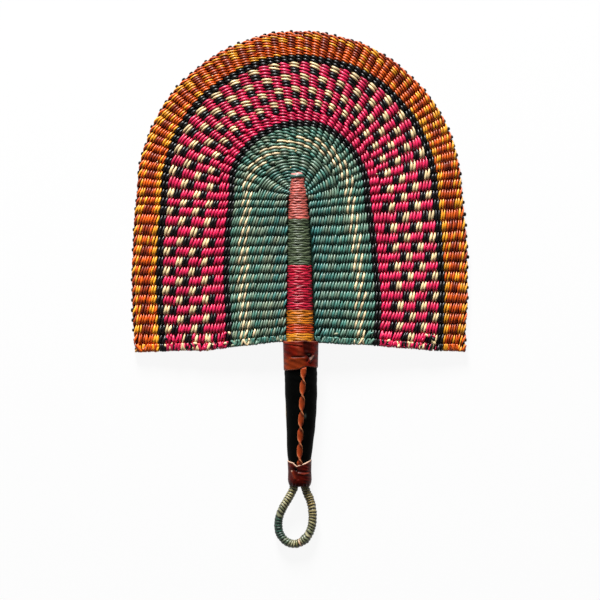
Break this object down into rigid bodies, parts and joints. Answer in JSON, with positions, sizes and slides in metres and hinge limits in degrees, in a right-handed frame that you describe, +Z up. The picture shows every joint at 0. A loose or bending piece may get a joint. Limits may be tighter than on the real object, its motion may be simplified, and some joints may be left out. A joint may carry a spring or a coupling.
{
  "type": "woven hand fan",
  "caption": "Straw hand fan with an arched, ribbed blade of twined colour bands, a straw-bound spine, a laced leather handle and a hanging loop.",
  "frame": {"origin": "middle of the underside of the fan without its hanging loop, on the surface it lies on", "axes": "+Y along the spine towards the top of the blade, +X to the right of the blade's front, +Z up out of the blade's front face"},
  "size_m": [0.2836, 0.4314, 0.0216],
  "materials": {
    "bare_straw": "dry bundled straw",
    "stake_straw": "black-dyed straw rods",
    "teal_straw": "twined teal-dyed straw",
    "black_straw": "twined black-dyed straw",
    "magenta_straw": "twined magenta-dyed straw with natural and black checks",
    "amber_straw": "twined amber, orange and brown straw",
    "salmon_straw": "wound salmon-dyed straw",
    "green_straw": "wound olive-green straw",
    "crimson_straw": "wound crimson-dyed straw",
    "cord_straw": "wound olive and teal straw",
    "brown_leather": "red-brown goat leather",
    "black_leather": "smooth black goat leather",
    "tan_leather": "tan leather thong"
  },
  "bodies": {
    "root": {"spine_core": "bare_straw", "cross_stake_01": "stake_straw", "cross_stake_02": "stake_straw", "cross_stake_03": "stake_straw", "cross_stake_04": "stake_straw", "cross_stake_05": "stake_straw", "cross_stake_06": "stake_straw", "cross_stake_07": "stake_straw", "cross_stake_08": "stake_straw", "cross_stake_09": "stake_straw", "cross_stake_10": "stake_straw", "cross_stake_11": "stake_straw", "cross_stake_12": "stake_straw", "cross_stake_13": "stake_straw", "cross_stake_14": "stake_straw", "cross_stake_15": "stake_straw", "cross_stake_16": "stake_straw", "cross_stake_17": "stake_straw", "crown_stake_01": "stake_straw", "crown_stake_02": "stake_straw", "crown_stake_03": "stake_straw", "crown_stake_04": "stake_straw", "crown_stake_05": "stake_straw", "crown_stake_06": "stake_straw", "crown_stake_07": "stake_straw", "crown_stake_08": "stake_straw", "arch_stake_01": "stake_straw", "arch_stake_02": "stake_straw", "arch_stake_03": "stake_straw", "arch_stake_04": "stake_straw", "arch_stake_05": "stake_straw", "arch_stake_06": "stake_straw", "arch_stake_07": "stake_straw", "arch_stake_08": "stake_straw", "arch_stake_09": "stake_straw", "teal_heart": "teal_straw", "teal_field": "teal_straw", "inner_black_ring": "black_straw", "magenta_field": "magenta_straw", "outer_black_ring": "black_straw", "amber_border": "amber_straw", "salmon_winding": "salmon_straw", "green_winding": "green_straw", "crimson_winding": "crimson_straw", "amber_winding": "amber_straw", "handle_sleeve": "black_leather", "top_collar": "brown_leather", "bottom_ferrule": "brown_leather", "seam_lacing": "tan_leather", "collar_tab": "brown_leather", "ferrule_tab": "brown_leather", "loop_cord": "bare_straw", "loop_winding": "cord_straw"}
  },
  "joints": []
}
